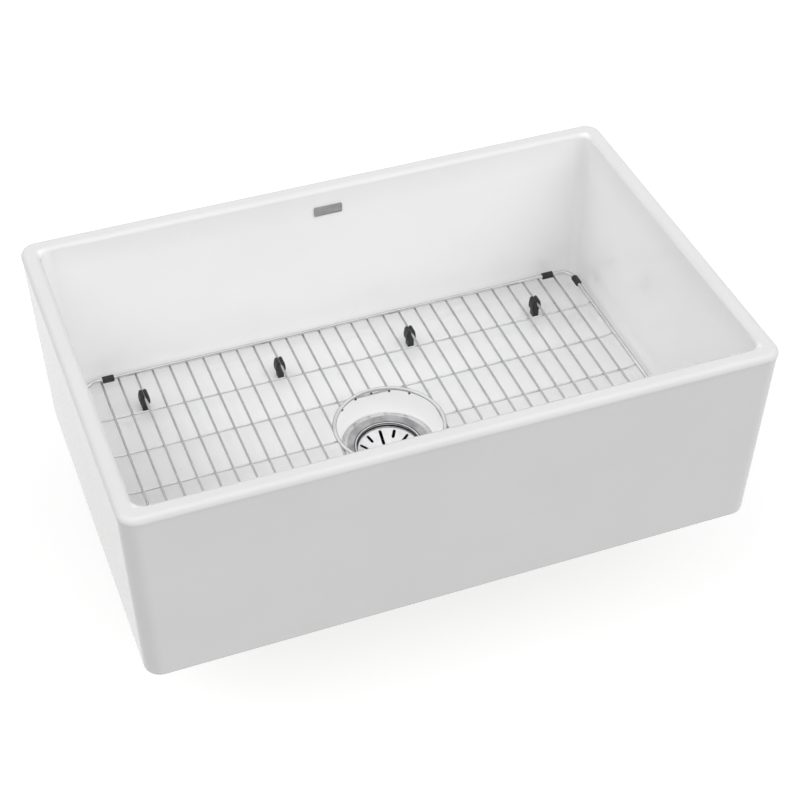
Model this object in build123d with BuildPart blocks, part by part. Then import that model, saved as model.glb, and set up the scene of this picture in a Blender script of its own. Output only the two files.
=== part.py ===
from build123d import *
from math import sqrt
import os

os.makedirs("parts", exist_ok=True)

# Farmhouse apron front sink, in millimetres.
# The origin is on the drain axis, in the plane of the flat underside of the basin.
# +X is to the right, +Y to the back wall, +Z up. The plain apron faces -Y.

# ---------------------------------------------------------------- basin
basin_length = 762.0
basin_depth = 502.5
basin_height = 255.0
side_wall = 20.4
back_wall = 21.4
front_wall = 21.4
floor_z = 23.4
draft_inset = 7.8  # how far each side leans out between the base and the rim
outer_corner = 20.5
bowl_corner = 15.0
floor_round = min(13.5, 0.9 * bowl_corner)
outer_rim_round = min(7.2, 0.42 * side_wall)
inner_rim_round = min(5.2, 0.35 * side_wall)
base_round = 5.4
lip_height = max(8.5, outer_rim_round + 1.2)  # the band round the rim
lip_reach = 0.7  # how far it stands proud of the walls
lip_edge_round = 0.5 * lip_reach

draft_slope = draft_inset / basin_height
lip_bottom = basin_height - lip_height
bowl_length = basin_length - 2 * side_wall
bowl_depth = basin_depth - front_wall - back_wall
bowl_center_y = (front_wall - back_wall) / 2
bowl_back_y = bowl_center_y + bowl_depth / 2

# ---------------------------------------------------------------- drain opening in the basin
drain_hole_gap = 1.2  # between the strainer's threads and the fireclay
recess_gap = 1.5  # round the flange, in the floor
recess_edge_round = 2.0
wrench_room = 17.0  # round the nut, in the recess under the basin
underside_recess_depth = 8.0
underside_recess_round = 3.0
cut_margin = 1.0  # how far a cut runs past a surface

# ---------------------------------------------------------------- waste tube
tailpiece_r = 19.05
tailpiece_wall = 0.95
outlet_over_tube = 0.1  # how much wider the outlet is than the tube's bore

outlet_r = tailpiece_r - tailpiece_wall + outlet_over_tube

# ---------------------------------------------------------------- strainer body
flange_flat_width = 5.2
flange_below_floor = 0.4
flange_thickness = 1.2
flange_edge_round = 0.5
bevel_width = 9.0
bevel_drop = 2.3
cup_r = 42.8
cup_wall = 2.0
cup_depth = 43.0  # from the flange's top to the end of the straight wall
seat_slope = 0.53  # fall of the cup's conical bottom for each mm towards the axis
spud_wall = 5.0  # of the threaded outlet under the cup
spud_length = 25.0
thread_depth = 0.7
thread_pitch = 2.0
thread_flank = 0.35  # share of the pitch
thread_crest = 0.15  # share of the pitch
thread_end = 0.5  # plain length above the cup's threads
spud_thread_end = 1.0  # plain length above the outlet's threads
seal_thickness = 1.2
seal_inset = 1.0

flange_top = floor_z - flange_below_floor
flange_under = flange_top - flange_thickness
bevel_r = cup_r + bevel_width
flange_r = bevel_r + flange_flat_width
bevel_slope = bevel_drop / bevel_width
seat_z = flange_under - seal_thickness
recess_r = flange_r + recess_gap
cup_straight_end_z = flange_top - cup_depth
cup_outer_r = cup_r + cup_wall
drain_hole_r = cup_outer_r + drain_hole_gap
spud_r = outlet_r + spud_wall
outlet_z = cup_straight_end_z - (cup_r - outlet_r) * seat_slope
cup_under_z = cup_straight_end_z - cup_wall
spud_bore_top = outlet_z - cup_wall
cup_under_slope = (cup_under_z - spud_bore_top) / (cup_outer_r - thread_depth - outlet_r)
spud_top = spud_bore_top + (spud_r - thread_depth - outlet_r) * cup_under_slope
spud_end = spud_top - spud_length

# ---------------------------------------------------------------- cross in the outlet
post_r = 3.0
clip_reach = 0.9  # how far the spring clip stands out from the post
clip_gap = 0.3  # between the clip and the cross
cross_bar_width = 2.4
cross_height = 3.0
cross_hub_wall = 2.4
cross_root = 0.5  # how deep the bars reach into the outlet's wall
cross_below_outlet = 4.0

clip_r = post_r + clip_reach
cross_hole_r = clip_r + clip_gap
cross_hub_r = cross_hole_r + cross_hub_wall
cross_top = outlet_z - cross_below_outlet
cross_bottom = cross_top - cross_height

# ---------------------------------------------------------------- under the basin
thread_gap = 0.1
gasket_gap = 0.5
gasket_inset = 1.0  # from the edge of the flange above
gasket_thickness = 4.0
friction_washer_thickness = 1.5
friction_washer_inset = 1.0  # from the edge of the gasket
locknut_wall = 8.2
locknut_height = 12.0
locknut_lugs = 8
locknut_lug_width = 14.0
locknut_lug_reach = 5.0
locknut_round = 1.0

gasket_outer_r = flange_r - gasket_inset
locknut_r = cup_outer_r + locknut_wall
underside_recess_r = locknut_r + locknut_lug_reach + wrench_room
gasket_top = underside_recess_depth
gasket_bottom = gasket_top - gasket_thickness
friction_washer_bottom = gasket_bottom - friction_washer_thickness
locknut_bottom = friction_washer_bottom - locknut_height

# ---------------------------------------------------------------- tailpiece and its nut
tailpiece_neck_step = 0.35
tailpiece_neck_past_nut = 1.0
tailpiece_flange_inset = 0.8  # from the outside of the threaded outlet
tailpiece_flange_thickness = 1.5
tailpiece_exposed = 90.0
tailpiece_washer_thickness = 2.0
coupling_wall = 3.8  # at the middle of a flat
coupling_corner_wall = 6.8
coupling_engagement = 14.0
coupling_shoulder = 3.0
coupling_bore_gap = 0.35

tailpiece_neck_r = tailpiece_r - tailpiece_neck_step
tailpiece_flange_r = spud_r - tailpiece_flange_inset
tailpiece_top = spud_end - tailpiece_washer_thickness
tailpiece_flange_under = tailpiece_top - tailpiece_flange_thickness
coupling_top = spud_end + coupling_engagement
coupling_bottom = tailpiece_flange_under - coupling_shoulder
tailpiece_neck_end = coupling_bottom - tailpiece_neck_past_nut
tailpiece_end = tailpiece_neck_end - tailpiece_exposed

# ---------------------------------------------------------------- stopper
stopper_gap = 0.3  # over the conical seat
stopper_inset = 12.3  # from the cup's wall
stopper_lip_past_outlet = 3.8
stopper_hollow_past_outlet = 0.3
stopper_below_straight_end = 2.0
stopper_web = 4.0
stopper_edge = 1.5
stopper_washer_width = 6.0
stopper_washer_thickness = 1.2
running_gap = 0.05

stopper_r = cup_r - stopper_inset
stopper_lip_inner_r = outlet_r + stopper_lip_past_outlet
stopper_hollow_r = outlet_r + stopper_hollow_past_outlet
stopper_top_z = cup_straight_end_z - stopper_below_straight_end
stopper_hollow_z = stopper_top_z - stopper_web
stopper_washer_bottom = stopper_hollow_z - stopper_washer_thickness

# ---------------------------------------------------------------- basket
basket_gap = 0.6  # between the rolled rim and the cup
basket_rim_bead_r = 1.2
basket_rim_below_flange = 3.2
basket_sheet = 0.9
basket_dish_inset = 2.7  # from the rim's centre to the edge of the cone
basket_dish_drop = 5.8  # from the rim's centre to the top of the cone
basket_cone_drop = 12.0
basket_hub_r = 12.5
slot_inset = 1.7  # from the edge of the cone
long_slot_length = 18.6
short_slot_length = 10.6
slot_width = 4.0
slot_count = 12
basket_angle = -2.0  # how the loose basket is turned
post_collar_width = 4.0
post_collar_height = 1.6
post_play = 0.3  # between the stopper and what holds it on the post
post_foot_below_cross = 4.0
post_foot_edge = 1.0
knob_base_width = 2.0
knob_width = 4.0
knob_height = 7.5
knob_waist_width = 1.2
knob_waist_height = 3.0
knob_dome_rise = 1.2
knob_edge = 1.0
knob_bore_depth = 4.0
groove_depth = 0.8  # of the post's two grooves
ring_width = 2.0
ring_height = 1.0
ring_mouth = 3.52  # the gap in the ring, by which it goes on the post
clip_height = 5.0
clip_above_cross = 1.0
clip_mouth = 2.2

basket_rim_r = cup_r - basket_gap - basket_rim_bead_r
basket_dish_r = basket_rim_r - basket_dish_inset
slot_outer_r = basket_dish_r - slot_inset
post_collar_r = post_r + post_collar_width
knob_base_r = post_r + knob_base_width
knob_r = post_r + knob_width
knob_waist_r = post_r + knob_waist_width
groove_r = post_r - groove_depth
ring_r = post_r + ring_width
basket_rim_z = flange_top - basket_rim_below_flange
basket_dish_top = basket_rim_z - basket_dish_drop
basket_hub_top = basket_dish_top - basket_cone_drop
post_collar_bottom = stopper_top_z + post_play
ring_top = stopper_washer_bottom - post_play
ring_bottom = ring_top - ring_height
post_foot = cross_bottom - post_foot_below_cross
clip_top = cross_top + clip_above_cross
clip_bottom = clip_top - clip_height
knob_top = basket_hub_top + knob_height
post_top = basket_hub_top + knob_bore_depth

# ---------------------------------------------------------------- bottom grid
grid_offset_x = 2.5  # where the loose grid lies in the bowl
grid_offset_y = 2.6
grid_wall_gap_x = 14.9  # from the frame wire to the bowl, with the grid centred
grid_wall_gap_y = 15.1
frame_wire_r = 2.5
thin_wire_r = 1.5
weld_sink = 0.4  # how deep welded wires bite into each other
frame_above_floor = 27.9
frame_corner = 17.0
drain_ring_r = 68.2
long_wire_count = 29
long_wire_margin = 23.1  # from the frame's side wire to the outermost long wire
cross_wire_count = 5
cross_wire_margin = 70.0  # from the frame's front or back wire to the outermost cross wire
cut_end_past_ring = 2.0
kick_run = 14.0  # length over which a cross wire rises to the frame
kick_round = 12.0

frame_z = floor_z + frame_above_floor
long_wire_z = frame_z - (frame_wire_r + thin_wire_r - weld_sink)
cross_wire_z = long_wire_z - (2 * thin_wire_r - weld_sink)
bowl_lean_at_frame = (basin_height - frame_z) * draft_slope
frame_half_x = bowl_length / 2 - bowl_lean_at_frame - grid_wall_gap_x - frame_wire_r
frame_half_y = bowl_depth / 2 - bowl_lean_at_frame - grid_wall_gap_y - frame_wire_r
long_wire_pitch = 2 * (frame_half_x - long_wire_margin) / (long_wire_count - 1)
cross_wire_pitch = 2 * (frame_half_y - cross_wire_margin) / (cross_wire_count - 1)

# ---------------------------------------------------------------- grid feet and bumpers
foot_wires = (2, 10, 18, 26)  # which long wires carry feet, counted from 0 at the left
foot_inset = 40.1  # from the frame's front or back wire
foot_floor_gap = 0.3
foot_depth = 11.2  # along the wire
foot_stem_width = 7.9
foot_stem_corner = 0.9
foot_edge_round = 0.6
foot_head_width = 10.3
foot_head_above_wire = 3.6
foot_head_below_wire = 3.2
foot_lobe_r = 2.5
foot_slot_width = 0.5  # between the two lobes, over the wire
foot_wing_thickness = 1.3
foot_wing_bulge = 1.1  # beyond the head, where a wing bows out most
foot_wing_bulge_drop = 4.5
foot_wing_tip_reach = 0.9
foot_wing_drop = 12.5
rubber_gap = 0.03
bumper_wall = 2.0
bumper_length = 15.0
bumper_slit = 2.0
bumper_edge_round = 0.8
bumper_from_side = 32.5  # from the frame's corner, along the front and back wires
bumper_from_end = 24.5  # from the frame's corner, along the side wires

# ---------------------------------------------------------------- badge plate
badge_length = 37.0
badge_width = 13.0
badge_corner = 1.8
badge_thickness = 1.0
badge_border = 1.4
badge_field_depth = 0.35
badge_x = 4.2
badge_below_rim = 31.0
adhesive_thickness = 0.5
adhesive_inset = 1.0


def edges_at(edges, height):
    """Those of some edges that lie in one level plane."""
    return edges.filter_by_position(Axis.Z, height - 0.01, height + 0.01)


def circles_at(edges, radius, height):
    """Those of some edges that are circles of this radius in one level plane."""
    circles = edges_at(edges, height).filter_by(GeomType.CIRCLE)
    return circles.filter_by(lambda edge: abs(edge.radius - radius) < 0.01)


def seat_height(radius):
    """Height of the cup's conical bottom at a distance from the axis."""
    return cup_straight_end_z - (cup_r - radius) * seat_slope


def bevel_height(radius, at_bevel_edge):
    """Height at a radius of a cone parallel to the flange's bevel, from its height at the bevel's edge."""
    return at_bevel_edge - (bevel_r - radius) * bevel_slope


def thread_ridges(radius, top, bottom):
    """Outline points of a ridged wall, from the top down."""
    points = []
    turns = int((top - bottom) / thread_pitch)
    for turn in range(turns):
        height = top - turn * thread_pitch
        points.append((radius - thread_depth, height))
        points.append((radius, height - thread_flank * thread_pitch))
        points.append((radius, height - (thread_flank + thread_crest) * thread_pitch))
        points.append((radius - thread_depth, height - (2 * thread_flank + thread_crest) * thread_pitch))
    return points


def leaning_block(length, depth, center_y, corner, bottom, top):
    """A block whose sides lean out with the draft; its length and depth are those at the rim's height."""
    with BuildPart(mode=Mode.PRIVATE) as block:
        for height in (bottom, top):
            lean = (basin_height - height) * draft_slope
            with BuildSketch(Plane(origin=(0, center_y, height))):
                RectangleRounded(length - 2 * lean, depth - 2 * lean, corner)
        loft(ruled=True)
    return block.part


# ================================================================ basin
with BuildPart() as rim_lip:
    add(leaning_block(basin_length, basin_depth, 0, outer_corner, lip_bottom, basin_height))
    fillet(edges_at(rim_lip.edges(), lip_bottom), lip_edge_round)
    fillet(edges_at(rim_lip.edges(), basin_height), outer_rim_round)

with BuildPart() as basin:
    add(
        leaning_block(
            basin_length - 2 * lip_reach,
            basin_depth - 2 * lip_reach,
            0,
            outer_corner - lip_reach,
            0,
            lip_bottom,
        )
    )
    fillet(edges_at(basin.edges(), 0), base_round)
    add(rim_lip.part)
    add(
        leaning_block(bowl_length, bowl_depth, bowl_center_y, bowl_corner, floor_z, basin_height),
        mode=Mode.SUBTRACT,
    )
    fillet(edges_at(basin.edges(Select.LAST), basin_height), inner_rim_round)
    fillet(edges_at(basin.edges(), floor_z), floor_round)
    with BuildSketch(Plane.XZ):
        with BuildLine():
            Polyline(
                (0, floor_z + cut_margin),
                (recess_r, floor_z + cut_margin),
                (recess_r, seat_z),
                (bevel_r, seat_z),
                (drain_hole_r, bevel_height(drain_hole_r, seat_z)),
                (drain_hole_r, underside_recess_depth),
                (underside_recess_r, underside_recess_depth),
                (underside_recess_r, -cut_margin),
                (0, -cut_margin),
                close=True,
            )
        make_face()
    revolve(axis=Axis.Z, mode=Mode.SUBTRACT)
    fillet(circles_at(basin.edges(), recess_r, floor_z), recess_edge_round)
    for height in (underside_recess_depth, 0):
        fillet(circles_at(basin.edges(), underside_recess_r, height), underside_recess_round)
basin.part.label = "basin"
export_step(basin.part, "parts/basin.step")

# ================================================================ badge plate on the back wall
badge_z = basin_height - badge_below_rim
badge_y = bowl_back_y - badge_below_rim * draft_slope
wall_plane = Plane(
    origin=(badge_x, badge_y, badge_z),
    x_dir=(1, 0, 0),
    z_dir=(0, -1, draft_slope),
)

with BuildPart() as badge_adhesive:
    with BuildSketch(wall_plane):
        RectangleRounded(
            badge_length - 2 * adhesive_inset, badge_width - 2 * adhesive_inset, badge_corner
        )
    extrude(amount=adhesive_thickness)
badge_adhesive.part.label = "badge_adhesive"
export_step(badge_adhesive.part, "parts/badge_adhesive.step")

with BuildPart() as badge_plate:
    with BuildSketch(wall_plane.offset(adhesive_thickness)):
        RectangleRounded(badge_length, badge_width, badge_corner)
    extrude(amount=badge_thickness)
    with BuildSketch(wall_plane.offset(adhesive_thickness + badge_thickness)):
        RectangleRounded(
            badge_length - 2 * badge_border, badge_width - 2 * badge_border, badge_corner / 2
        )
    extrude(amount=-badge_field_depth, mode=Mode.SUBTRACT)
badge_plate.part.label = "badge_plate"
export_step(badge_plate.part, "parts/badge_plate.step")

# ================================================================ strainer body
with BuildPart() as strainer_body:
    with BuildSketch(Plane.XZ):
        with BuildLine():
            Polyline(
                (flange_r, flange_under),
                (flange_r, flange_top),
                (bevel_r, flange_top),
                (cup_r, flange_top - bevel_drop),
                (cup_r, cup_straight_end_z),
                (outlet_r, outlet_z),
                (outlet_r, spud_bore_top),
                (cup_outer_r - thread_depth, cup_under_z),
                *reversed(thread_ridges(cup_outer_r, gasket_bottom, cup_under_z)),
                (cup_outer_r - thread_depth, gasket_bottom + thread_end),
                (cup_outer_r, gasket_bottom + thread_end),
                (cup_outer_r, bevel_height(cup_outer_r, flange_under)),
                (bevel_r, flange_under),
                close=True,
            )
        make_face()
    revolve(axis=Axis.Z)
    fillet(circles_at(strainer_body.edges(), flange_r, flange_top), flange_edge_round)
strainer_body.part.label = "strainer_body"
export_step(strainer_body.part, "parts/strainer_body.step")

with BuildPart() as outlet_spud:
    with BuildSketch(Plane.XZ):
        with BuildLine():
            Polyline(
                (outlet_r, spud_bore_top),
                (outlet_r, spud_end),
                (spud_r - thread_depth, spud_end),
                *reversed(thread_ridges(spud_r, spud_top - spud_thread_end, spud_end)),
                (spud_r - thread_depth, spud_top),
                close=True,
            )
        make_face()
    revolve(axis=Axis.Z)
    with BuildSketch(Plane.XY.offset(cross_bottom)):
        Circle(cross_hub_r)
        Rectangle(2 * (outlet_r + cross_root), cross_bar_width)
        Rectangle(cross_bar_width, 2 * (outlet_r + cross_root))
        Circle(cross_hole_r, mode=Mode.SUBTRACT)
    extrude(amount=cross_height)
outlet_spud.part.label = "outlet_spud"
export_step(outlet_spud.part, "parts/outlet_spud.step")

with BuildPart() as flange_seal:
    with BuildSketch(Plane.XZ):
        with BuildLine():
            Polyline(
                (flange_r - seal_inset, flange_under),
                (bevel_r, flange_under),
                (drain_hole_r, bevel_height(drain_hole_r, flange_under)),
                (drain_hole_r, bevel_height(drain_hole_r, seat_z)),
                (bevel_r, seat_z),
                (flange_r - seal_inset, seat_z),
                close=True,
            )
        make_face()
    revolve(axis=Axis.Z)
flange_seal.part.label = "flange_seal"
export_step(flange_seal.part, "parts/flange_seal.step")

# ================================================================ clamp under the basin
with BuildPart() as deck_gasket:
    with BuildSketch(Plane.XY.offset(gasket_bottom)):
        Circle(gasket_outer_r)
        Circle(cup_outer_r + gasket_gap, mode=Mode.SUBTRACT)
    extrude(amount=gasket_thickness)
deck_gasket.part.label = "deck_gasket"
export_step(deck_gasket.part, "parts/deck_gasket.step")

with BuildPart() as friction_washer:
    with BuildSketch(Plane.XY.offset(friction_washer_bottom)):
        Circle(gasket_outer_r - friction_washer_inset)
        Circle(cup_outer_r + gasket_gap, mode=Mode.SUBTRACT)
    extrude(amount=friction_washer_thickness)
friction_washer.part.label = "friction_washer"
export_step(friction_washer.part, "parts/friction_washer.step")

with BuildPart() as locknut:
    with BuildSketch(Plane.XY.offset(locknut_bottom)):
        Circle(locknut_r)
        with PolarLocations(locknut_r, locknut_lugs):
            Rectangle(2 * locknut_lug_reach, locknut_lug_width)
        Circle(cup_outer_r + thread_gap, mode=Mode.SUBTRACT)
    extrude(amount=locknut_height)
    fillet(edges_at(locknut.edges(), locknut_bottom).filter_by(GeomType.LINE), locknut_round)
locknut.part.label = "locknut"
export_step(locknut.part, "parts/locknut.step")

# ================================================================ outlet below the strainer
with BuildPart() as tailpiece_washer:
    with BuildSketch(Plane.XY.offset(tailpiece_top)):
        Circle(tailpiece_flange_r)
        Circle(outlet_r, mode=Mode.SUBTRACT)
    extrude(amount=tailpiece_washer_thickness)
tailpiece_washer.part.label = "tailpiece_washer"
export_step(tailpiece_washer.part, "parts/tailpiece_washer.step")

tailpiece_inner_r = tailpiece_r - tailpiece_wall
with BuildPart() as tailpiece:
    with BuildSketch(Plane.XZ):
        with BuildLine():
            Polyline(
                (tailpiece_inner_r, tailpiece_top),
                (tailpiece_flange_r, tailpiece_top),
                (tailpiece_flange_r, tailpiece_flange_under),
                (tailpiece_neck_r, tailpiece_flange_under),
                (tailpiece_neck_r, tailpiece_neck_end),
                (tailpiece_r, tailpiece_neck_end),
                (tailpiece_r, tailpiece_end),
                (tailpiece_inner_r, tailpiece_end),
                close=True,
            )
        make_face()
    revolve(axis=Axis.Z)
tailpiece.part.label = "tailpiece"
export_step(tailpiece.part, "parts/tailpiece.step")

with BuildPart() as coupling_nut:
    with BuildSketch(Plane.XY.offset(coupling_bottom)):
        RegularPolygon(spud_r + coupling_wall, 6, major_radius=False)
        Circle(spud_r + coupling_corner_wall, mode=Mode.INTERSECT)
    extrude(amount=coupling_top - coupling_bottom)
    with BuildSketch(Plane.XY.offset(tailpiece_flange_under)):
        Circle(spud_r + thread_gap)
    extrude(amount=coupling_top - tailpiece_flange_under, mode=Mode.SUBTRACT)
    with BuildSketch(Plane.XY.offset(coupling_bottom)):
        Circle(tailpiece_r + coupling_bore_gap)
    extrude(amount=coupling_shoulder, mode=Mode.SUBTRACT)
coupling_nut.part.label = "coupling_nut"
export_step(coupling_nut.part, "parts/coupling_nut.step")

# ================================================================ stopper
with BuildPart() as stopper_seal:
    with BuildSketch(Plane.XZ):
        with BuildLine():
            Polyline(
                (post_r + running_gap, stopper_top_z),
                (stopper_r - stopper_edge, stopper_top_z),
                (stopper_r, stopper_top_z - stopper_edge),
                (stopper_r, seat_height(stopper_r) + stopper_gap),
                (stopper_lip_inner_r, seat_height(stopper_lip_inner_r) + stopper_gap),
                (stopper_hollow_r + stopper_edge, seat_height(stopper_lip_inner_r) + stopper_gap),
                (stopper_hollow_r, stopper_hollow_z),
                (post_r + running_gap, stopper_hollow_z),
                close=True,
            )
        make_face()
    revolve(axis=Axis.Z)
stopper_seal.part.label = "stopper_seal"
export_step(stopper_seal.part, "parts/stopper_seal.step")

with BuildPart() as stopper_washer:
    with BuildSketch(Plane.XY.offset(stopper_washer_bottom)):
        Circle(post_r + stopper_washer_width)
        Circle(post_r + running_gap, mode=Mode.SUBTRACT)
    extrude(amount=stopper_washer_thickness)
stopper_washer.part.label = "stopper_washer"
export_step(stopper_washer.part, "parts/stopper_washer.step")

# ================================================================ basket
with BuildPart() as basket_cup:
    with BuildSketch(Plane.XZ):
        with BuildLine():
            Polyline(
                (post_r, basket_hub_top),
                (basket_hub_r, basket_hub_top),
                (basket_dish_r, basket_dish_top),
                (basket_rim_r, basket_rim_z),
                (basket_rim_r + basket_sheet, basket_rim_z),
                (basket_dish_r + basket_sheet, basket_dish_top - basket_sheet),
                (basket_hub_r, basket_hub_top - basket_sheet),
                (post_r, basket_hub_top - basket_sheet),
                close=True,
            )
        make_face()
        with Locations((basket_rim_r, basket_rim_z)):
            Circle(basket_rim_bead_r)
    revolve(axis=Axis.Z)
    with BuildSketch(Plane.XY.offset(basket_hub_top - 2 * basket_sheet)):
        for slot in range(slot_count):
            is_long = slot % (slot_count // 4) == 0
            length = long_slot_length if is_long else short_slot_length
            angle = basket_angle + slot * 360 / slot_count
            with PolarLocations(slot_outer_r - length / 2, 1, start_angle=angle):
                SlotOverall(length, slot_width)
    extrude(amount=basket_rim_z - basket_hub_top, mode=Mode.SUBTRACT)
basket_cup.part.label = "basket_cup"
export_step(basket_cup.part, "parts/basket_cup.step")

with BuildPart() as basket_post:
    with BuildSketch(Plane.XZ):
        with BuildLine():
            Polyline(
                (0, post_top),
                (post_r - running_gap, post_top),
                (post_r - running_gap, basket_hub_top - basket_sheet),
                (post_r, basket_hub_top - basket_sheet),
                (post_r, post_collar_bottom + post_collar_height),
                (post_collar_r, post_collar_bottom + post_collar_height),
                (post_collar_r, post_collar_bottom),
                (post_r, post_collar_bottom),
                (post_r, ring_top),
                (groove_r, ring_top),
                (groove_r, ring_bottom),
                (post_r, ring_bottom),
                (post_r, clip_top),
                (groove_r, clip_top),
                (groove_r, clip_bottom),
                (post_r, clip_bottom),
                (post_r, post_foot + post_foot_edge),
                (post_r - post_foot_edge, post_foot),
                (0, post_foot),
                close=True,
            )
        make_face()
    revolve(axis=Axis.Z)
basket_post.part.label = "basket_post"
export_step(basket_post.part, "parts/basket_post.step")

with BuildPart() as basket_knob:
    with BuildSketch(Plane.XZ):
        with BuildLine():
            base = Line((post_r, basket_hub_top), (knob_base_r, basket_hub_top))
            waist = Line(base @ 1, (knob_waist_r, basket_hub_top + knob_waist_height))
            flare = Line(waist @ 1, (knob_r, knob_top - knob_dome_rise - knob_edge))
            edge = Line(flare @ 1, (knob_r, knob_top - knob_dome_rise))
            dome = TangentArc((0, knob_top), edge @ 1, tangent=(1, 0))
            axis_top = Line(dome @ 0, (0, post_top))
            bore_top = Line(axis_top @ 1, (post_r, post_top))
            Line(bore_top @ 1, base @ 0)
        make_face()
    revolve(axis=Axis.Z)
basket_knob.part.label = "basket_knob"
export_step(basket_knob.part, "parts/basket_knob.step")

with BuildPart() as retaining_ring:
    with BuildSketch(Plane.XY.offset(ring_bottom)):
        Circle(ring_r)
        Circle(groove_r, mode=Mode.SUBTRACT)
        with Locations((ring_r, 0)):
            Rectangle(2 * ring_r, ring_mouth, mode=Mode.SUBTRACT)
    extrude(amount=ring_height)
retaining_ring.part.label = "retaining_ring"
export_step(retaining_ring.part, "parts/retaining_ring.step")

with BuildPart() as post_clip:
    with BuildSketch(Plane.XZ):
        with BuildLine():
            Polyline(
                (groove_r, clip_top),
                (post_r, clip_top),
                (clip_r, clip_top - 0.5 * clip_height),
                (post_r, clip_bottom),
                (groove_r, clip_bottom),
                close=True,
            )
        make_face()
    revolve(axis=Axis.Z)
    with BuildSketch(Plane.XY.offset(clip_bottom)):
        with Locations((clip_r, 0)):
            Rectangle(2 * clip_r, clip_mouth)
    extrude(amount=clip_height, mode=Mode.SUBTRACT)
post_clip.part.label = "post_clip"
export_step(post_clip.part, "parts/post_clip.step")

# ================================================================ bottom grid wires
grid_plane = Plane(origin=(grid_offset_x, grid_offset_y, 0))
frame_corners = [
    (-frame_half_x, -frame_half_y),
    (frame_half_x, -frame_half_y),
    (frame_half_x, frame_half_y),
    (-frame_half_x, frame_half_y),
]

with BuildPart() as grid_frame:
    with BuildLine(grid_plane.offset(frame_z)) as frame_path:
        FilletPolyline(*frame_corners, radius=frame_corner, close=True)
    with BuildSketch(Plane(origin=frame_path.wire() @ 0, z_dir=frame_path.wire() % 0)):
        Circle(frame_wire_r)
    sweep(path=frame_path.wire())
grid_frame.part.label = "grid_frame"
export_step(grid_frame.part, "parts/grid_frame.step")

with BuildPart() as grid_drain_ring:
    with BuildSketch(
        Plane(origin=(grid_offset_x, grid_offset_y, frame_z), x_dir=(1, 0, 0), z_dir=(0, -1, 0))
    ):
        with Locations((drain_ring_r, 0)):
            Circle(frame_wire_r)
    revolve(axis=Axis((grid_offset_x, grid_offset_y, 0), (0, 0, 1)))
grid_drain_ring.part.label = "grid_drain_ring"
export_step(grid_drain_ring.part, "parts/grid_drain_ring.step")


def wire_stretches(across, half_length, clear_half_width):
    """The stretches of a thin wire, cut where it would cross the opening in the drain ring."""
    if abs(across) >= clear_half_width:
        return [(-half_length, half_length)]
    ring_edge = sqrt(drain_ring_r**2 - across**2) - cut_end_past_ring
    return [(-half_length, -ring_edge), (ring_edge, half_length)]


long_wire_places = [
    (index - (long_wire_count - 1) / 2) * long_wire_pitch for index in range(long_wire_count)
]
with BuildPart() as grid_long_wires:
    for across in long_wire_places:
        for start, end in wire_stretches(across, frame_half_y, drain_ring_r - frame_wire_r):
            wire_start = (grid_offset_x + across, grid_offset_y + start, long_wire_z)
            with BuildSketch(Plane(origin=wire_start, x_dir=(1, 0, 0), z_dir=(0, 1, 0))):
                Circle(thin_wire_r)
            extrude(amount=end - start)
grid_long_wires.part.label = "grid_long_wires"
export_step(grid_long_wires.part, "parts/grid_long_wires.step")

cross_wire_places = [
    (index - (cross_wire_count - 1) / 2) * cross_wire_pitch for index in range(cross_wire_count)
]
cross_wire_end_z = frame_z - (frame_wire_r + thin_wire_r - weld_sink)


def cross_wire_points(start, end):
    """A cross wire's line: level under the long wires, rising to the frame at an end that reaches it."""
    points = []
    if start == -frame_half_x:
        points += [(start, cross_wire_end_z), (start + kick_run, cross_wire_z)]
    else:
        points += [(start, cross_wire_z)]
    if end == frame_half_x:
        points += [(end - kick_run, cross_wire_z), (end, cross_wire_end_z)]
    else:
        points += [(end, cross_wire_z)]
    return points


with BuildPart() as grid_cross_wires:
    for across in cross_wire_places:
        wire_plane = Plane(
            origin=(grid_offset_x, grid_offset_y + across, 0), x_dir=(1, 0, 0), z_dir=(0, -1, 0)
        )
        for start, end in wire_stretches(across, frame_half_x, drain_ring_r - frame_wire_r):
            with BuildLine(wire_plane) as wire_path:
                FilletPolyline(*cross_wire_points(start, end), radius=kick_round)
            with BuildSketch(
                Plane(origin=wire_path.wire() @ 0, z_dir=wire_path.wire() % 0)
            ):
                Circle(thin_wire_r)
            sweep(path=wire_path.wire())
grid_cross_wires.part.label = "grid_cross_wires"
export_step(grid_cross_wires.part, "parts/grid_cross_wires.step")

# ================================================================ grid feet
foot_row_y = frame_half_y - foot_inset
foot_places = [
    (long_wire_places[wire], row) for row in (foot_row_y, -foot_row_y) for wire in foot_wires
]
foot_head_half = foot_head_width / 2
foot_lobe_x = foot_head_half - foot_lobe_r
foot_lobe_z = foot_head_above_wire - foot_lobe_r
foot_wing_outer = [
    (foot_head_half, foot_lobe_z),
    (foot_head_half + foot_wing_bulge, -foot_wing_bulge_drop),
    (foot_head_half + foot_wing_tip_reach, -foot_wing_drop),
]
foot_wing_inner = [(x - foot_wing_thickness, z) for x, z in reversed(foot_wing_outer)]

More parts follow.
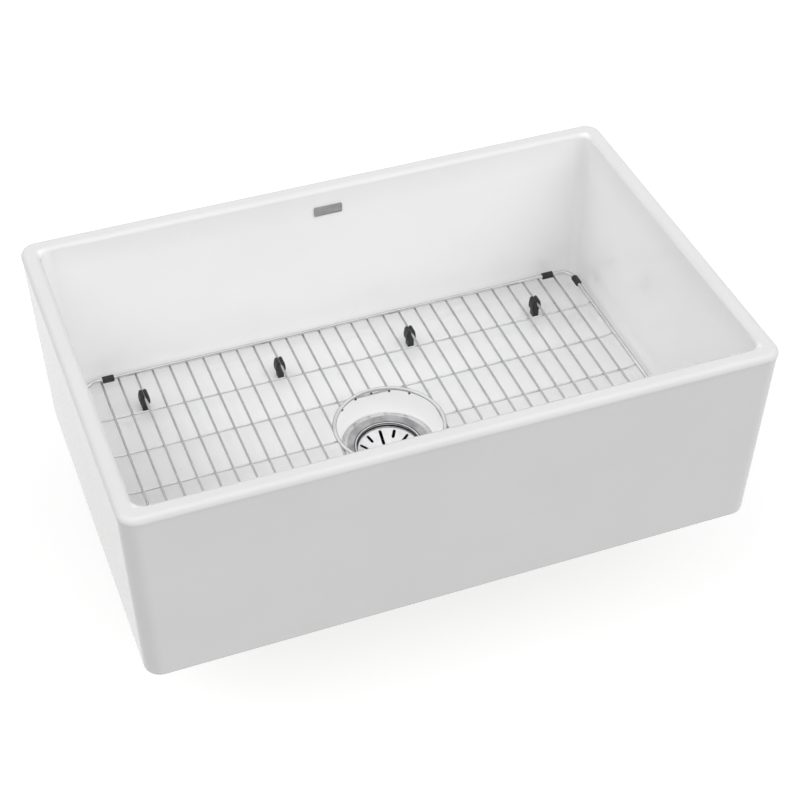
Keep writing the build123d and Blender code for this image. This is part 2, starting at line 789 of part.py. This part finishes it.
for number, (across, along) in enumerate(foot_places, start=1):
    foot_x = grid_offset_x + across
    foot_y = grid_offset_y + along
    foot_bottom = floor_z + foot_floor_gap
    head_plane = Plane(origin=(foot_x, foot_y, long_wire_z), x_dir=(1, 0, 0), z_dir=(0, -1, 0))
    with BuildPart() as grid_foot:
        with BuildSketch(Plane(origin=(foot_x, foot_y, foot_bottom))):
            RectangleRounded(foot_stem_width, foot_depth, foot_stem_corner)
        extrude(amount=long_wire_z - foot_head_below_wire - foot_bottom)
        fillet(edges_at(grid_foot.edges(), foot_bottom), foot_edge_round)
        with BuildSketch(head_plane):
            with Locations((0, (foot_lobe_z - foot_head_below_wire) / 2)):
                Rectangle(foot_head_width, foot_lobe_z + foot_head_below_wire)
            with Locations((-foot_lobe_x, foot_lobe_z), (foot_lobe_x, foot_lobe_z)):
                Circle(foot_lobe_r)
            with BuildLine():
                outer = ThreePointArc(*foot_wing_outer)
                inner = ThreePointArc(*foot_wing_inner)
                Line(outer @ 1, inner @ 0)
                Line(inner @ 1, outer @ 0)
            wing = make_face()
            mirror(wing, about=Plane.YZ)
            with Locations((0, 0)):
                Circle(thin_wire_r + rubber_gap, mode=Mode.SUBTRACT)
            with Locations((0, foot_head_above_wire / 2)):
                Rectangle(foot_slot_width, foot_head_above_wire, mode=Mode.SUBTRACT)
        extrude(amount=foot_depth / 2, both=True)
    grid_foot.part.label = f"grid_foot_{number}"
    export_step(grid_foot.part, f"parts/grid_foot_{number}.step")

# ================================================================ grid bumpers
bumper_r = frame_wire_r + bumper_wall
bumper_x = frame_half_x - bumper_from_side
bumper_y = frame_half_y - bumper_from_end
bumper_places = [
    (side * bumper_x, row * frame_half_y, (1, 0, 0), (0, 1, 0)) for row in (1, -1) for side in (-1, 1)
]
bumper_places += [
    (side * frame_half_x, row * bumper_y, (0, 1, 0), (-1, 0, 0)) for row in (1, -1) for side in (-1, 1)
]

for number, (across, along, wire_direction, level_direction) in enumerate(bumper_places, start=1):
    bumper_plane = Plane(
        origin=(grid_offset_x + across, grid_offset_y + along, frame_z),
        x_dir=level_direction,
        z_dir=wire_direction,
    )
    with BuildPart() as grid_bumper:
        with BuildSketch(bumper_plane):
            Circle(bumper_r)
        extrude(amount=bumper_length / 2, both=True)
        fillet(grid_bumper.edges().filter_by(GeomType.CIRCLE), bumper_edge_round)
        with BuildSketch(bumper_plane):
            Circle(frame_wire_r + rubber_gap)
            with Locations((0, -bumper_r)):
                Rectangle(bumper_slit, 2 * bumper_r)
        extrude(amount=bumper_length / 2, both=True, mode=Mode.SUBTRACT)
    grid_bumper.part.label = f"grid_bumper_{number}"
    export_step(grid_bumper.part, f"parts/grid_bumper_{number}.step")
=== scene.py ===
import math

import bpy
from mathutils import Matrix, Vector


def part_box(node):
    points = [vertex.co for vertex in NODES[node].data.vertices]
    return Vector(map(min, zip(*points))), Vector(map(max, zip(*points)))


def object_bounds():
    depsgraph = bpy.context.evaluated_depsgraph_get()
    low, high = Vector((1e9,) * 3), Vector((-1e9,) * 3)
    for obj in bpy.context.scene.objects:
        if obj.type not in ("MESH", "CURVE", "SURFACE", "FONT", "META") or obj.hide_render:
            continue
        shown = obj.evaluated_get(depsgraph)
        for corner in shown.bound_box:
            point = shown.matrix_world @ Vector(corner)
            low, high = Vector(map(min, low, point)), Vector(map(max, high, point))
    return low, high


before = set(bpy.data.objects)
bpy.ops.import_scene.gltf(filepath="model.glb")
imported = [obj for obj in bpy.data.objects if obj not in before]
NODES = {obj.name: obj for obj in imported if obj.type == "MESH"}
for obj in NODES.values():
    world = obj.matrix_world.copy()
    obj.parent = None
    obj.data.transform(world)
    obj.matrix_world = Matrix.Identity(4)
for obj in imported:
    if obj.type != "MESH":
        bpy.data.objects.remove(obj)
CAD_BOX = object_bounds()
SCENE = bpy.context.scene

# ---------------------------------------------------------------- places on the object, in metres
SIDE_WALL = 0.0204
FRONT_AND_BACK_WALL = 0.0214
BOWL_PAINTED_LIGHT_EDGE = (-0.001, 0.003)  # from the bowl's wall outward: where the glaze changes from painted light in the bowl to painted shade outside
BOWL_FLOOR_PAINTED_LIGHT_EDGE = (0.018, 0.020)  # heights inside the floor of the bowl, hidden in the fireclay, over which the bowl's painted light begins
UNDERSIDE = (0.001, 0.014)  # heights up to which faces that look down are bare clay
FLANGE_SLOPE_R = 0.0518  # outer radius of the slope inside the drain flange
FLANGE_SLOPE_EDGE = 0.0004
FLANGE_LOWEST = (0.0, 0.001)  # heights under which the strainer has neither the rougher band nor its painted shade
BASKET_SLOPE = (0.0393, 0.0399)  # radii between which the basket drops from its rim, painted dark there as painted shade
BASKET_SLOPE_EDGE = 0.0003
FLOOR_GAP = 0.001  # between the lowest point of the object and the studio floor

BASIN_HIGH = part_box("basin")[1]
BOWL_HALF_X = BASIN_HIGH.x - SIDE_WALL
BOWL_HALF_Y = BASIN_HIGH.y - FRONT_AND_BACK_WALL
RING_LOW, RING_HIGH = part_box("grid_drain_ring")
RING_X, RING_Y = (RING_LOW.x + RING_HIGH.x) / 2, (RING_LOW.y + RING_HIGH.y) / 2

# ---------------------------------------------------------------- colours, in a pair the darker one first
# one white glaze in two tones: darker outside as painted shade, paler in the bowl as painted light
GLAZE_OUTSIDE_PAINTED_SHADE = ((0.768, 0.768, 0.766), (0.784, 0.784, 0.784))
GLAZE_IN_BOWL_PAINTED_LIGHT = ((0.946, 0.946, 0.944), (0.958, 0.958, 0.958))
SPECK = (0.45, 0.42, 0.38)
SPECK_SHARE = 0.25
CLAY = ((0.66, 0.62, 0.55), (0.80, 0.77, 0.71))
FLANGE_BRIGHT = ((0.78, 0.78, 0.79), (0.88, 0.88, 0.885))
# the slope inside the flange: a rougher finish, coloured darker as painted shade
FLANGE_SATIN_AND_SHADE = ((0.30, 0.30, 0.305), (0.48, 0.48, 0.485))
THICK_WIRE = (0.80, 0.80, 0.81)
# the long wires' steel, darker than the thick wire's as painted shade
THIN_WIRE_PAINTED_SHADE = (0.56, 0.56, 0.57)
# painted shade on the cut ends of the long wires
CUT_END_PAINTED_SHADE = (0.05, 0.05, 0.05)
# painted shade: the thin dark line under the basket's rim
SLOPE_PAINTED_SHADE = (0.04, 0.04, 0.04)
OUTLINE = (0.35, 0.85)  # Layer Weight's facing, over which thick wire's colour darkens to its outline, a painted reflection
OUTLINE_SHARE = 0.25  # of the colour, left at the outline
OUTLINE_BLEND = 0.5
GLAZE_IOR = 1.5


# ---------------------------------------------------------------- node helpers
class Nodes:
    """The node tree of a material or world, with short calls for the nodes used below."""

    def __init__(self, owner, output):
        owner.use_nodes = True
        self.owner = owner
        self.tree = owner.node_tree
        self.tree.nodes.clear()
        self.surface = self.node(output).inputs["Surface"]
        self.coordinates = self.node("ShaderNodeTexCoord").outputs

    def node(self, kind, **settings):
        made = self.tree.nodes.new(kind)
        for key, value in settings.items():
            setattr(made, key, value)
        return made

    def put(self, socket, value):
        """Links a socket, or sets a plain value."""
        if isinstance(value, bpy.types.NodeSocket):
            self.tree.links.new(value, socket)
        else:
            socket.default_value = value

    @property
    def position(self):
        return self.coordinates["Object"]

    @property
    def normal(self):
        return self.coordinates["Normal"]

    def math(self, operation, a, b=0.0):
        made = self.node("ShaderNodeMath", operation=operation)
        self.put(made.inputs[0], a)
        self.put(made.inputs[1], b)
        return made.outputs[0]

    def vector(self, operation, a, b=(0.0, 0.0, 0.0)):
        made = self.node("ShaderNodeVectorMath", operation=operation)
        self.put(made.inputs[0], a)
        self.put(made.inputs[1], b)
        return made.outputs["Value" if operation in ("LENGTH", "DOT_PRODUCT") else "Vector"]

    def split(self, vector):
        """The x, y and z of a vector."""
        made = self.node("ShaderNodeSeparateXYZ")
        self.put(made.inputs[0], vector)
        return tuple(made.outputs)

    def join(self, x, y, z):
        made = self.node("ShaderNodeCombineXYZ")
        for socket, value in zip(made.inputs, (x, y, z)):
            self.put(socket, value)
        return made.outputs[0]

    def noise(self, vector, scale, detail, roughness=0.5):
        made = self.node("ShaderNodeTexNoise")
        self.put(made.inputs["Vector"], vector)
        made.inputs["Scale"].default_value = scale
        made.inputs["Detail"].default_value = detail
        made.inputs["Roughness"].default_value = roughness
        return made.outputs["Fac"]

    def ramp(self, value, low, high, out_low=0.0, out_high=1.0, smooth=False):
        made = self.node("ShaderNodeMapRange", interpolation_type="SMOOTHSTEP" if smooth else "LINEAR")
        self.put(made.inputs["Value"], value)
        made.inputs["From Min"].default_value = low
        made.inputs["From Max"].default_value = high
        made.inputs["To Min"].default_value = out_low
        made.inputs["To Max"].default_value = out_high
        return made.outputs["Result"]

    def mix(self, factor, a, b):
        """Colour a where the factor is 0, and colour b where it is 1."""
        made = self.node("ShaderNodeMix", data_type="RGBA")
        self.put(made.inputs[0], factor)
        for socket, value in ((made.inputs[6], a), (made.inputs[7], b)):
            self.put(socket, value if isinstance(value, bpy.types.NodeSocket) else (*value, 1.0))
        return made.outputs[2]

    def mix_shaders(self, factor, a, b):
        made = self.node("ShaderNodeMixShader")
        for socket, value in zip(made.inputs, (factor, a, b)):
            self.put(socket, value)
        return made.outputs[0]

    def bump(self, height, strength, distance, below=None):
        """The normal over a relief, which may lie on the relief of another bump."""
        made = self.node("ShaderNodeBump")
        made.inputs["Strength"].default_value = strength
        made.inputs["Distance"].default_value = distance
        self.put(made.inputs["Height"], height)
        if below is not None:
            self.put(made.inputs["Normal"], below)
        return made.outputs["Normal"]

    def principled(self, color, roughness, normal, **constants):
        """Ends the tree in a Principled shader, and gives back the material."""
        made = self.node("ShaderNodeBsdfPrincipled")
        for socket_name, value in constants.items():
            made.inputs[socket_name].default_value = value
        self.put(made.inputs["Base Color"], color)
        self.put(made.inputs["Roughness"], roughness)
        self.put(made.inputs["Normal"], normal)
        self.put(self.surface, made.outputs[0])
        return self.owner


def material_nodes(name):
    return Nodes(bpy.data.materials.new(name), "ShaderNodeOutputMaterial")


# ---------------------------------------------------------------- materials
def glaze_material():
    """White fireclay glaze, paler in the bowl as painted light and darker outside as painted shade, with
    a dull unglazed underside.
    """
    s = material_nodes("fireclay_glaze")
    x, y, z = s.split(s.position)
    from_middle_x = s.math("ABSOLUTE", x)
    from_middle_y = s.math("ABSOLUTE", y)
    # painted light: where the glaze takes the paler tone of the bowl
    painted_light_in_bowl = s.math(
        "MULTIPLY",
        s.ramp(from_middle_x, *(BOWL_HALF_X + edge for edge in BOWL_PAINTED_LIGHT_EDGE), 1.0, 0.0),
        s.ramp(from_middle_y, *(BOWL_HALF_Y + edge for edge in BOWL_PAINTED_LIGHT_EDGE), 1.0, 0.0),
    )
    painted_light_in_bowl = s.math("MULTIPLY", painted_light_in_bowl, s.ramp(z, *BOWL_FLOOR_PAINTED_LIGHT_EDGE))
    facing_up = s.split(s.normal)[2]
    below = s.math("MULTIPLY", s.ramp(facing_up, -0.95, -0.85, 1.0, 0.0), s.ramp(z, *UNDERSIDE, 1.0, 0.0))

    cloud = s.ramp(s.noise(s.position, scale=9.0, detail=4.0), 0.35, 0.65)
    specks = s.ramp(s.noise(s.position, scale=900.0, detail=1.0), 0.80, 0.84)
    clay_grain = s.noise(s.position, scale=700.0, detail=5.0, roughness=0.7)
    # the bowl's painted light and the outside's painted shade, over the same white glaze
    tint = s.mix(painted_light_in_bowl, s.mix(cloud, *GLAZE_OUTSIDE_PAINTED_SHADE), s.mix(cloud, *GLAZE_IN_BOWL_PAINTED_LIGHT))
    tint = s.mix(s.math("MULTIPLY", specks, SPECK_SHARE), tint, SPECK)
    color = s.mix(below, tint, s.mix(clay_grain, *CLAY))

    fine = s.noise(s.position, scale=260.0, detail=3.0)
    roughness = s.ramp(fine, 0.3, 0.7, 0.10, 0.17)
    roughness = s.math("ADD", roughness, s.math("MULTIPLY", below, 0.6))

    waves = s.noise(s.position, scale=22.0, detail=2.0)
    peel = s.noise(s.position, scale=190.0, detail=2.0)
    normal = s.bump(waves, strength=0.10, distance=0.0016)
    normal = s.bump(peel, strength=0.06, distance=0.0003, below=normal)
    normal = s.bump(s.math("MULTIPLY", clay_grain, below), strength=0.5, distance=0.0003, below=normal)
    return s.principled(color, roughness, normal, IOR=GLAZE_IOR)


def metal_material(
    name,
    color,
    roughness,
    grain,
    grain_scale,
    grain_depth=0.00002,
    spread=0.08,
    painted_dark_outline=False,
    painted_shade_end_axis=None,
    painted_shade_slope=None,
):
    """Bare metal with fine lines.

    roughness is a range. grain gives the coordinates of the lines, and spread is how far the colour
    varies. An outline darkens the colour where the metal turns from sight: a painted reflection, as
    polished round wire shows. An end axis is the axis along which a wire runs, whose cut ends are
    painted dark as painted shade. A shaded slope is a span of distance from the drain's axis over
    which the metal is painted dark as painted shade.
    """
    s = material_nodes(name)
    lines = s.noise(grain(s), grain_scale, detail=4.0, roughness=0.6)
    cloud = s.noise(s.position, scale=60.0, detail=4.0)
    dark = tuple(c * (1 - spread) for c in color)
    light = tuple(min(1.0, c * (1 + spread)) for c in color)
    tint = s.mix(s.ramp(cloud, 0.3, 0.7), dark, light)
    tint = s.mix(s.ramp(lines, 0.35, 0.65, 0.0, 0.35), tint, dark)
    if painted_dark_outline:
        # painted reflection: the colour darkens toward the wire's outline
        weight = s.node("ShaderNodeLayerWeight")
        weight.inputs["Blend"].default_value = OUTLINE_BLEND
        turned_away = s.ramp(weight.outputs["Facing"], *OUTLINE, smooth=True)
        tint = s.mix(turned_away, tint, tuple(c * OUTLINE_SHARE for c in color))
    # painted shade: the cut ends of the wire are coloured dark
    if painted_shade_end_axis is not None:
        end_on = s.math("ABSOLUTE", s.split(s.normal)[painted_shade_end_axis])
        tint = s.mix(s.ramp(end_on, 0.90, 0.97), tint, CUT_END_PAINTED_SHADE)
    # painted shade: a thin dark line under the basket's rim, by distance from the drain's axis
    if painted_shade_slope is not None:
        inner, outer = painted_shade_slope
        radius = s.split(turned()(s))[0]
        from_inner = s.ramp(radius, inner - BASKET_SLOPE_EDGE, inner)
        to_outer = s.ramp(radius, outer, outer + BASKET_SLOPE_EDGE, 1.0, 0.0)
        tint = s.mix(s.math("MULTIPLY", from_inner, to_outer), tint, SLOPE_PAINTED_SHADE)
    normal = s.bump(lines, strength=0.35, distance=grain_depth)
    return s.principled(tint, s.ramp(lines, 0.3, 0.7, *roughness), normal, Metallic=1.0)


def along(x_stretch, y_stretch, z_stretch):
    """Coordinates squeezed along an axis, so that noise becomes lines along it."""
    return lambda s: s.vector("MULTIPLY", s.position, (x_stretch, y_stretch, z_stretch))


def turned(center_x=0.0, center_y=0.0):
    """Coordinates of distance from an upright axis and height, so that noise becomes turning lines."""

    def coordinates(s):
        flat = s.vector("MULTIPLY", s.position, (1.0, 1.0, 0.0))
        radius = s.vector("LENGTH", s.vector("SUBTRACT", flat, (center_x, center_y, 0.0)))
        return s.join(radius, s.split(s.position)[2], 0.0)

    return coordinates


def flange_material():
    """Turned steel: a bright flat flange, with a rougher band on the slope inside it, coloured darker as
    painted shade.
    """
    s = material_nodes("drain_steel_flange")
    vector = turned()(s)
    radius, height = s.split(vector)[:2]
    band = s.math(
        "MULTIPLY",
        s.ramp(radius, FLANGE_SLOPE_R - FLANGE_SLOPE_EDGE, FLANGE_SLOPE_R, 1.0, 0.0),
        s.ramp(height, *FLANGE_LOWEST),
    )
    lines = s.noise(vector, scale=1500.0, detail=4.0, roughness=0.6)
    streaks = s.noise(s.vector("MULTIPLY", s.position, (1.0, 1.0, 0.2)), scale=70.0, detail=3.0)
    bright = s.mix(s.ramp(lines, 0.3, 0.7), *FLANGE_BRIGHT)
    # painted shade: the slope inside the flange is coloured darker
    satin_and_shade = s.mix(s.ramp(streaks, 0.35, 0.65), *FLANGE_SATIN_AND_SHADE)
    roughness = s.math("ADD", s.ramp(lines, 0.3, 0.7, 0.12, 0.26), s.math("MULTIPLY", band, 0.12))
    normal = s.bump(lines, strength=0.35, distance=0.00002)
    return s.principled(s.mix(band, bright, satin_and_shade), roughness, normal, Metallic=1.0)


def rubber_material(name, color, roughness):
    s = material_nodes(name)
    fine = s.noise(s.position, scale=1400.0, detail=4.0, roughness=0.6)
    cloud = s.noise(s.position, scale=130.0, detail=3.0)
    dusty = tuple(c * 1.8 + 0.012 for c in color)
    tint = s.mix(s.ramp(cloud, 0.35, 0.75, 0.0, 0.6), color, dusty)
    rough = s.ramp(fine, 0.3, 0.7, roughness - 0.10, roughness + 0.08)
    return s.principled(tint, rough, s.bump(fine, strength=0.35, distance=0.00012))


def matte_material(name, dark, light, roughness, grain_scale, grain_depth):
    s = material_nodes(name)
    grain = s.noise(s.position, grain_scale, detail=5.0, roughness=0.65)
    tint = s.mix(s.ramp(grain, 0.3, 0.7), dark, light)
    rough = s.ramp(grain, 0.3, 0.7, roughness - 0.08, roughness + 0.08)
    return s.principled(tint, rough, s.bump(grain, strength=0.4, distance=grain_depth))


MATERIALS = {
    "basin": glaze_material(),
    "wires_y": metal_material(
        "wire_steel_long",
        color=THIN_WIRE_PAINTED_SHADE,
        roughness=(0.16, 0.30),
        grain=along(1.0, 0.03, 1.0),
        grain_scale=900.0,
        painted_shade_end_axis=1,
    ),
    "wires_x": metal_material(
        "wire_steel_cross",
        color=THICK_WIRE,
        roughness=(0.16, 0.30),
        grain=along(0.03, 1.0, 1.0),
        grain_scale=900.0,
    ),
    "frame": metal_material(
        "wire_steel_frame",
        color=THICK_WIRE,
        roughness=(0.14, 0.26),
        grain=along(0.3, 0.3, 1.0),
        grain_scale=900.0,
        painted_dark_outline=True,
    ),
    "ring": metal_material(
        "wire_steel_ring",
        color=THICK_WIRE,
        roughness=(0.14, 0.26),
        grain=turned(RING_X, RING_Y),
        grain_scale=900.0,
        painted_dark_outline=True,
    ),
    "flange": flange_material(),
    "drain": metal_material(
        "drain_steel",
        color=(0.60, 0.60, 0.61),
        roughness=(0.12, 0.26),
        grain=turned(),
        grain_scale=1500.0,
    ),
    "basket": metal_material(
        "basket_steel",
        color=(0.80, 0.80, 0.81),
        roughness=(0.14, 0.28),
        grain=turned(),
        grain_scale=1300.0,
        painted_shade_slope=BASKET_SLOPE,
    ),
    "knob": metal_material(
        "knob_steel",
        color=(0.80, 0.80, 0.81),
        roughness=(0.14, 0.28),
        grain=turned(),
        grain_scale=1300.0,
    ),
    "small_steel": metal_material(
        "small_steel",
        color=(0.58, 0.58, 0.59),
        roughness=(0.18, 0.32),
        grain=along(1.0, 1.0, 1.0),
        grain_scale=900.0,
    ),
    "badge": metal_material(
        "badge_metal",
        color=(0.50, 0.50, 0.51),
        roughness=(0.20, 0.36),
        grain=along(0.04, 1.0, 1.0),
        grain_scale=1600.0,
    ),
    "locknut": metal_material(
        "locknut_metal",
        color=(0.60, 0.50, 0.33),
        roughness=(0.34, 0.52),
        grain=along(1.0, 1.0, 1.0),
        grain_scale=500.0,
        grain_depth=0.00012,
        spread=0.16,
    ),
    "grid_rubber": rubber_material("grid_rubber", color=(0.016, 0.016, 0.017), roughness=0.55),
    "black_rubber": rubber_material("black_rubber", color=(0.020, 0.020, 0.021), roughness=0.60),
    "seal": rubber_material("seal_rubber", color=(0.045, 0.045, 0.045), roughness=0.62),
    "fibre": matte_material(
        "fibre_board",
        dark=(0.36, 0.25, 0.15),
        light=(0.55, 0.42, 0.28),
        roughness=0.85,
        grain_scale=420.0,
        grain_depth=0.0002,
    ),
    "plastic": matte_material(
        "washer_plastic",
        dark=(0.70, 0.70, 0.68),
        light=(0.78, 0.78, 0.76),
        roughness=0.45,
        grain_scale=240.0,
        grain_depth=0.00005,
    ),
    "foam": matte_material(
        "adhesive_foam",
        dark=(0.66, 0.66, 0.64),
        light=(0.78, 0.78, 0.76),
        roughness=0.9,
        grain_scale=900.0,
        grain_depth=0.0002,
    ),
}
NODE_MATERIALS = {  # of all pieces but the rubber feet and bumpers
    "basin": "basin",
    "badge_plate": "badge",
    "badge_adhesive": "foam",
    "grid_long_wires": "wires_y",
    "grid_cross_wires": "wires_x",
    "grid_frame": "frame",
    "grid_drain_ring": "ring",
    "strainer_body": "flange",
    "outlet_spud": "drain",
    "tailpiece": "drain",
    "coupling_nut": "drain",
    "flange_seal": "seal",
    "deck_gasket": "black_rubber",
    "friction_washer": "fibre",
    "locknut": "locknut",
    "tailpiece_washer": "plastic",
    "stopper_seal": "black_rubber",
    "stopper_washer": "small_steel",
    "basket_cup": "basket",
    "basket_post": "small_steel",
    "basket_knob": "knob",
    "retaining_ring": "small_steel",
    "post_clip": "small_steel",
}
for name, node in NODES.items():
    node.data.materials.clear()
    node.data.materials.append(MATERIALS[NODE_MATERIALS.get(name, "grid_rubber")])

# ---------------------------------------------------------------- studio
SKY_PATCHES = [  # degrees round from the apron's side to the right, degrees up, sharpness, strength
    (0, 42, 10, 1.6),  # in front
    (30, 35, 10, 1.1),
    (60, 22, 12, 1.1),  # front right, low
    (60, 50, 10, 1.1),  # front right, high
    (180, 30, 12, 0.5),  # behind
    (240, 22, 12, 0.3),  # back left, low
    (240, 50, 10, 1.9),  # back left, high
    (300, 22, 12, 0.2),  # front left, low
    (300, 50, 10, 1.5),  # front left, high
    (0, 90, 8, 0.2),  # overhead
]
DARK_SIDE = 0.25  # what reflections see of the unlit side of the studio, in front of the apron
DARK_SIDE_Y = (-0.75, -0.30)  # of a direction: all dark up to the first, all white from the second
DARK_SIDE_BOTTOM = (0.10, 0.30)  # heights of a direction over which the dark begins
DARK_SIDE_TOP = (0.70, 0.90)  # and over which it ends
FLOOR_HALF = 12.0
FLOOR_TONE = 0.37
FLOOR_GLOW = 0.72
FLOOR_Z = CAD_BOX[0].z - FLOOR_GAP


def toward(azimuth, elevation):
    """The unit vector at an angle round from the apron's side to the right, and an angle up."""
    level = math.cos(elevation)
    return (math.sin(azimuth) * level, -math.cos(azimuth) * level, math.sin(elevation))


def studio_world():
    """A soft sky of wide patches of light, which the camera and reflections see as white."""
    s = Nodes(bpy.data.worlds.new("studio"), "ShaderNodeOutputWorld")
    path = s.node("ShaderNodeLightPath").outputs
    direction = s.coordinates["Generated"]
    y, z = s.split(direction)[1:]

    def background(strength):
        made = s.node("ShaderNodeBackground")
        made.inputs["Color"].default_value = (1.0, 1.0, 1.0, 1.0)
        s.put(made.inputs["Strength"], strength)
        return made.outputs[0]

    light = 0.0
    for azimuth, elevation, sharpness, strength in SKY_PATCHES:
        middle = toward(math.radians(azimuth), math.radians(elevation))
        facing = s.math("MAXIMUM", s.vector("DOT_PRODUCT", direction, middle), 0.0)
        light = s.math("ADD", light, s.math("MULTIPLY", s.math("POWER", facing, sharpness), strength))

    in_front = s.ramp(y, *DARK_SIDE_Y, 1.0, 0.0, smooth=True)
    above = s.ramp(z, *DARK_SIDE_BOTTOM, smooth=True)
    under = s.ramp(z, *DARK_SIDE_TOP, 1.0, 0.0, smooth=True)
    dark = s.math("MULTIPLY", in_front, s.math("MULTIPLY", above, under))
    mirrored = s.ramp(dark, 0.0, 1.0, 1.0, DARK_SIDE, smooth=True)

    reflected = s.math("MAXIMUM", path["Is Glossy Ray"], path["Is Transmission Ray"])
    unseen = s.mix_shaders(reflected, background(light), background(mirrored))
    s.put(s.surface, s.mix_shaders(path["Is Camera Ray"], unseen, background(1.0)))
    return s.owner


def studio_floor():
    """A large pale floor that keeps the object's shadow."""
    corners = ((-1, -1), (1, -1), (1, 1), (-1, 1))
    mesh = bpy.data.meshes.new("studio_floor")
    mesh.from_pydata([(x * FLOOR_HALF, y * FLOOR_HALF, FLOOR_Z) for x, y in corners], [], [(0, 1, 2, 3)])
    floor = bpy.data.objects.new("studio_floor", mesh)
    SCENE.collection.objects.link(floor)

    s = material_nodes("studio_floor")
    path = s.node("ShaderNodeLightPath").outputs
    diffuse = s.node("ShaderNodeBsdfDiffuse")
    diffuse.inputs["Color"].default_value = (FLOOR_TONE, FLOOR_TONE, FLOOR_TONE, 1.0)
    glow = s.node("ShaderNodeEmission")
    seen = s.math("MAXIMUM", path["Is Camera Ray"], path["Is Glossy Ray"])
    s.put(glow.inputs["Strength"], s.math("MULTIPLY", seen, FLOOR_GLOW))
    both = s.node("ShaderNodeAddShader")
    s.put(both.inputs[0], diffuse.outputs[0])
    s.put(both.inputs[1], glow.outputs[0])
    s.put(s.surface, both.outputs[0])
    mesh.materials.append(s.owner)


SCENE.world = studio_world()
studio_floor()

# ---------------------------------------------------------------- camera
AZIMUTH = math.radians(-20.667)
ELEVATION = math.radians(41.747)
ROLL = math.radians(0.043)
DISTANCE = 2.20335
LOOK_AT = Vector((0.01502, 0.0, 0.09038))
FOCAL_SHARE = 2.258  # focal length as a share of the picture's width
SENSOR = 36.0
CLIP = (0.05, 50.0)

back = Vector(toward(AZIMUTH, ELEVATION))
right = (-back).cross(Vector((0, 0, 1))).normalized()
up = right.cross(-back)
rolled_right = right * math.cos(ROLL) + up * math.sin(ROLL)
rolled_up = -right * math.sin(ROLL) + up * math.cos(ROLL)
rotation = Matrix((rolled_right, rolled_up, back)).transposed()
camera_data = bpy.data.cameras.new("camera")
camera_data.sensor_width = SENSOR
camera_data.lens = FOCAL_SHARE * SENSOR
camera_data.clip_start, camera_data.clip_end = CLIP
camera = bpy.data.objects.new("camera", camera_data)
camera.matrix_world = Matrix.Translation(LOOK_AT + back * DISTANCE) @ rotation.to_4x4()
SCENE.collection.objects.link(camera)
SCENE.camera = camera
SCENE.view_settings.view_transform = "Standard"
